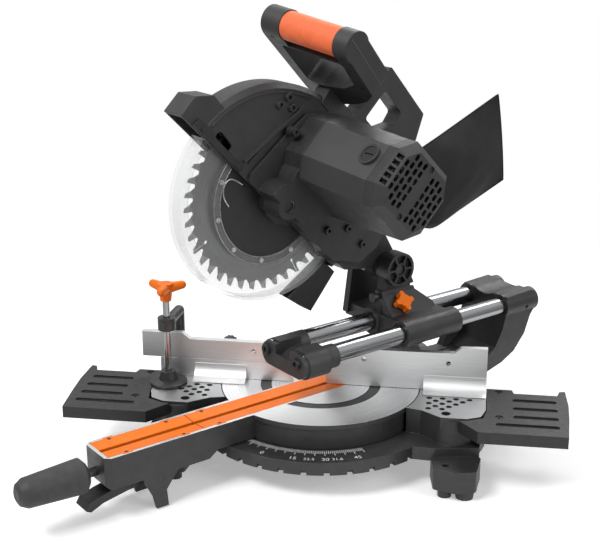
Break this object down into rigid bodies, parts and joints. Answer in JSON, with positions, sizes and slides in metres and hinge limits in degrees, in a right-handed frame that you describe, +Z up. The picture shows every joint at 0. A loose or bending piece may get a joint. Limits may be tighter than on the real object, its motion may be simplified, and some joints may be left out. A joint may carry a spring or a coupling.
{
  "type": "sliding compound mitre saw",
  "caption": "Bench saw with a turning table and swing-out arm, a blade head that tilts, slides on twin rails and chops down, a swinging blade guard, work clamp and dust bag.",
  "frame": {"origin": "on the bench under the turning table's axis, the middle of the bench bolt pattern", "axes": "+X to the operator's right along the fence, +Y to the rear, +Z up"},
  "size_m": [0.71, 0.6073, 0.643],
  "materials": {
    "charcoal_casting": "satin dark charcoal powder coat",
    "machined_aluminium": "machined and brushed",
    "charcoal_moulding": "fine moulded texture",
    "black_plastic": "matte black moulding",
    "black_rubber": "soft black rubber",
    "orange_plastic": "vivid orange moulding",
    "orange_rubber": "soft orange rubber with a dotted grip",
    "chrome": "polished and plated",
    "steel": "plain steel",
    "black_steel": "blackened steel",
    "blade_steel": "ground blade plate",
    "clear_plastic": "clear polycarbonate",
    "bag_cloth": "woven cloth"
  },
  "bodies": {
    "base": {"base_casting": "charcoal_casting", "rubber_feet": "black_rubber", "right_fence": "machined_aluminium", "left_fence": "machined_aluminium", "fence_bolts": "steel", "left_wing": "black_plastic", "right_wing": "black_plastic", "wing_screws": "steel", "clamp_post": "black_steel", "table_bolt": "steel"},
    "upper_fence": {"sliding_fence": "machined_aluminium"},
    "fence_lock": {"fence_knob": "black_plastic"},
    "clamp_foot": {"clamp_pad": "black_steel"},
    "clamp_screw": {"clamp_rod": "chrome"},
    "table": {"turntable": "charcoal_casting", "front_insert": "orange_plastic", "rear_insert": "orange_plastic", "insert_screws": "black_steel", "lever_pin": "steel", "miter_pointer": "orange_plastic", "bevel_bolt": "steel"},
    "miter_lock": {"lock_rod": "steel", "lock_grip": "black_rubber"},
    "detent": {"detent_lever": "black_plastic"},
    "bevel_lock": {"bevel_lever": "black_plastic"},
    "tilt": {"rear_housing": "charcoal_casting", "rails": "chrome", "rail_cap": "charcoal_moulding", "cap_screws": "black_steel"},
    "carriage": {"carriage": "charcoal_casting", "rail_bushes": "steel", "pivot_shaft": "steel", "pivot_spring": "steel", "depth_stop": "steel"},
    "slide_lock": {"slide_knob": "orange_plastic"},
    "head": {"gear_case": "charcoal_casting", "case_screws": "steel", "upper_guard": "charcoal_moulding", "guard_strip": "black_plastic", "bearings": "steel", "motor_housing": "charcoal_moulding", "motor_cap": "charcoal_moulding", "stator": "steel", "brush_caps": "black_plastic", "handle_frame": "charcoal_moulding", "grip_sleeve": "orange_rubber", "carry_handle": "charcoal_moulding", "dust_chute": "black_plastic", "dust_duct": "black_plastic", "dust_bag": "bag_cloth"},
    "swing_guard": {"lower_guard": "clear_plastic", "guard_hub": "black_plastic", "guard_rivets": "steel"},
    "blade_set": {"blade": "blade_steel", "spindle": "steel", "flanges": "steel", "arbor_bolt": "black_steel"},
    "idler": {"idler_gear": "steel"},
    "armature": {"rotor": "steel"},
    "trigger": {"trigger": "orange_plastic"}
  },
  "joints": [
    {"name": "miter", "type": "hinge", "parent": "base", "child": "table", "pos_m": [0, 0, 0.095], "axis": [0, 0, 1], "range_deg": [0, 90]},
    {"name": "miter_lock_turn", "type": "hinge", "parent": "table", "child": "miter_lock", "pos_m": [-0.28284, -0.28284, 0.067], "axis": [-0.7071, -0.7071, 0], "range_deg": [0, 180]},
    {"name": "detent_press", "type": "hinge", "parent": "table", "child": "detent", "pos_m": [-0.20365, -0.20365, 0.041], "axis": [-0.7071, 0.7071, 0], "range_deg": [0, 6], "stiffness_Nm_per_rad": 6},
    {"name": "bevel", "type": "hinge", "parent": "table", "child": "tilt", "pos_m": [0.11667, 0.11667, 0.095], "axis": [-0.7071, -0.7071, 0], "range_deg": [0, 25]},
    {"name": "bevel_lock_turn", "type": "hinge", "parent": "table", "child": "bevel_lock", "pos_m": [0.13718, 0.13718, 0.095], "axis": [-0.7071, -0.7071, 0], "range_deg": [0, 30]},
    {"name": "fence_travel", "type": "slide", "parent": "base", "child": "upper_fence", "axis": [1, 0, 0], "range_m": [-0.045, 0.015]},
    {"name": "fence_lock_turn", "type": "hinge", "parent": "upper_fence", "child": "fence_lock", "pos_m": [-0.14, 0.02, 0.1395], "axis": [0, 1, 0], "range_deg": [0, 180]},
    {"name": "clamp_travel", "type": "slide", "parent": "base", "child": "clamp_foot", "axis": [0, 0, 1], "range_m": [0, 0.015]},
    {"name": "clamp_turn", "type": "hinge", "parent": "clamp_foot", "child": "clamp_screw", "pos_m": [-0.2215, -0.028, 0.155], "axis": [0, 0, 1], "range_deg": [0, 1080]},
    {"name": "carriage_travel", "type": "slide", "parent": "tilt", "child": "carriage", "axis": [0.7071, 0.7071, 0], "range_m": [-0.118, 0.092]},
    {"name": "slide_lock_turn", "type": "hinge", "parent": "carriage", "child": "slide_lock", "pos_m": [0.11526, 0.02758, 0.217], "axis": [0.5225, -0.5225, 0.6738], "range_deg": [0, 90]},
    {"name": "chop", "type": "hinge", "parent": "carriage", "child": "head", "pos_m": [0.07425, 0.07425, 0.263], "axis": [0.7071, -0.7071, 0], "range_deg": [0, 43]},
    {"name": "guard_swing", "type": "hinge", "parent": "head", "child": "swing_guard", "pos_m": [-0.06875, -0.06875, 0.39028], "axis": [0.7071, -0.7071, 0], "range_deg": [0, 172]},
    {"name": "motor_spin", "type": "hinge", "parent": "head", "child": "armature", "pos_m": [-0.00453, -0.00453, 0.42434], "axis": [0.7071, -0.7071, 0], "continuous": true},
    {"name": "blade_spin", "type": "hinge", "parent": "head", "child": "blade_set", "pos_m": [-0.06875, -0.06875, 0.39028], "axis": [0.7071, -0.7071, 0], "continuous": true},
    {"name": "idler_spin", "type": "hinge", "parent": "head", "child": "idler", "pos_m": [-0.03565, -0.03565, 0.40784], "axis": [0.7071, -0.7071, 0], "continuous": true},
    {"name": "trigger_press", "type": "slide", "parent": "head", "child": "trigger", "axis": [-0.3421, -0.6361, 0.6917], "range_m": [0, 0.004], "stiffness_N_per_m": 600}
  ],
  "couplings": [
    {"joint": "guard_swing", "follows": "chop", "ratio": 4},
    {"joint": "blade_spin", "follows": "motor_spin", "ratio": 0.75},
    {"joint": "idler_spin", "follows": "motor_spin", "ratio": -0.23684},
    {"joint": "clamp_turn", "follows": "clamp_travel", "rad_per_m": 1256.6}
  ]
}
